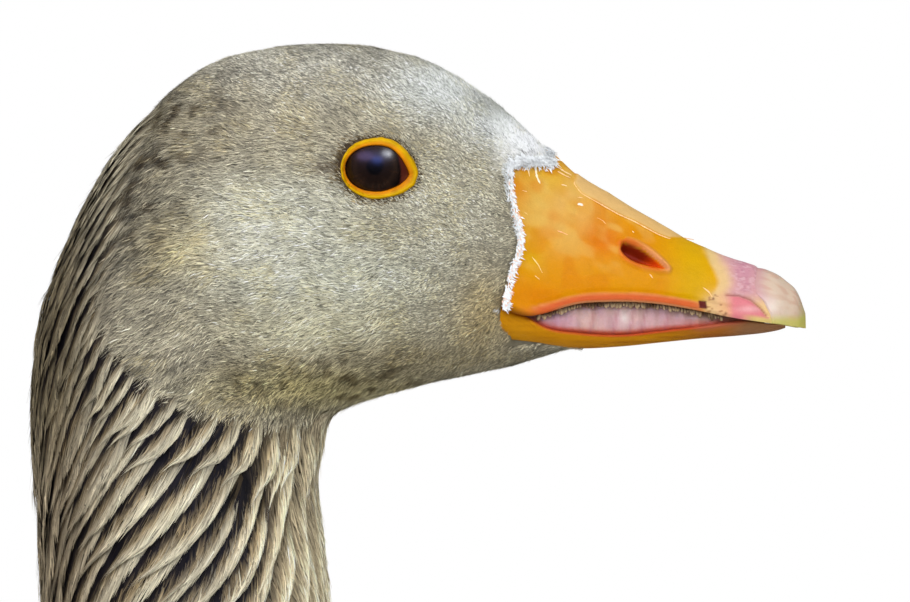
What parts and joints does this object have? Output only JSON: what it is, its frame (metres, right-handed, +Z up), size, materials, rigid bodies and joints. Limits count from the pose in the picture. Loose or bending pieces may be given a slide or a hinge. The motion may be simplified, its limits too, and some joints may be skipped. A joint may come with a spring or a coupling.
{
  "type": "domestic goose",
  "caption": "Life-size still model of a grey domestic goose standing alert, with an upright neck, a level orange bill with a pale nail, folded wings and webbed feet.",
  "frame": {"origin": "middle of the bounding box in plan, on the floor under the feet", "axes": "+X forward, the way the bill points; +Y towards the bird's left; +Z up"},
  "size_m": [0.6258, 0.2174, 0.7277],
  "materials": {
    "plumage_grey": "short dense grey-brown feathers, matt",
    "plumage_dark": "dark stiff flight feathers, matt",
    "bill_orange": "satin orange skin over horn",
    "nail_cream": "satin pale horn",
    "mouth_pink": "moist pink lining",
    "eye_brown": "wet, very dark brown",
    "leg_orange": "dry scaly skin",
    "claw_horn": "dark horn"
  },
  "bodies": {
    "root": {"bill_lower": "bill_orange", "bill_nail": "nail_cream", "bill_upper": "bill_orange", "claw_left_hind": "claw_horn", "claw_left_inner": "claw_horn", "claw_left_middle": "claw_horn", "claw_left_outer": "claw_horn", "claw_right_hind": "claw_horn", "claw_right_inner": "claw_horn", "claw_right_middle": "claw_horn", "claw_right_outer": "claw_horn", "eye_left": "eye_brown", "eye_right": "eye_brown", "foot_left": "leg_orange", "foot_right": "leg_orange", "head": "plumage_grey", "hind_toe_left": "leg_orange", "hind_toe_right": "leg_orange", "neck_lower": "plumage_grey", "neck_middle": "plumage_grey", "neck_upper": "plumage_grey", "shank_left": "leg_orange", "shank_right": "leg_orange", "tail": "plumage_grey", "thigh_left": "plumage_grey", "thigh_right": "plumage_grey", "tongue": "mouth_pink", "trunk": "plumage_grey", "wing_left_coverts": "plumage_grey", "wing_left_primaries": "plumage_dark", "wing_left_secondaries": "plumage_grey", "wing_right_coverts": "plumage_grey", "wing_right_primaries": "plumage_dark", "wing_right_secondaries": "plumage_grey"}
  },
  "joints": []
}
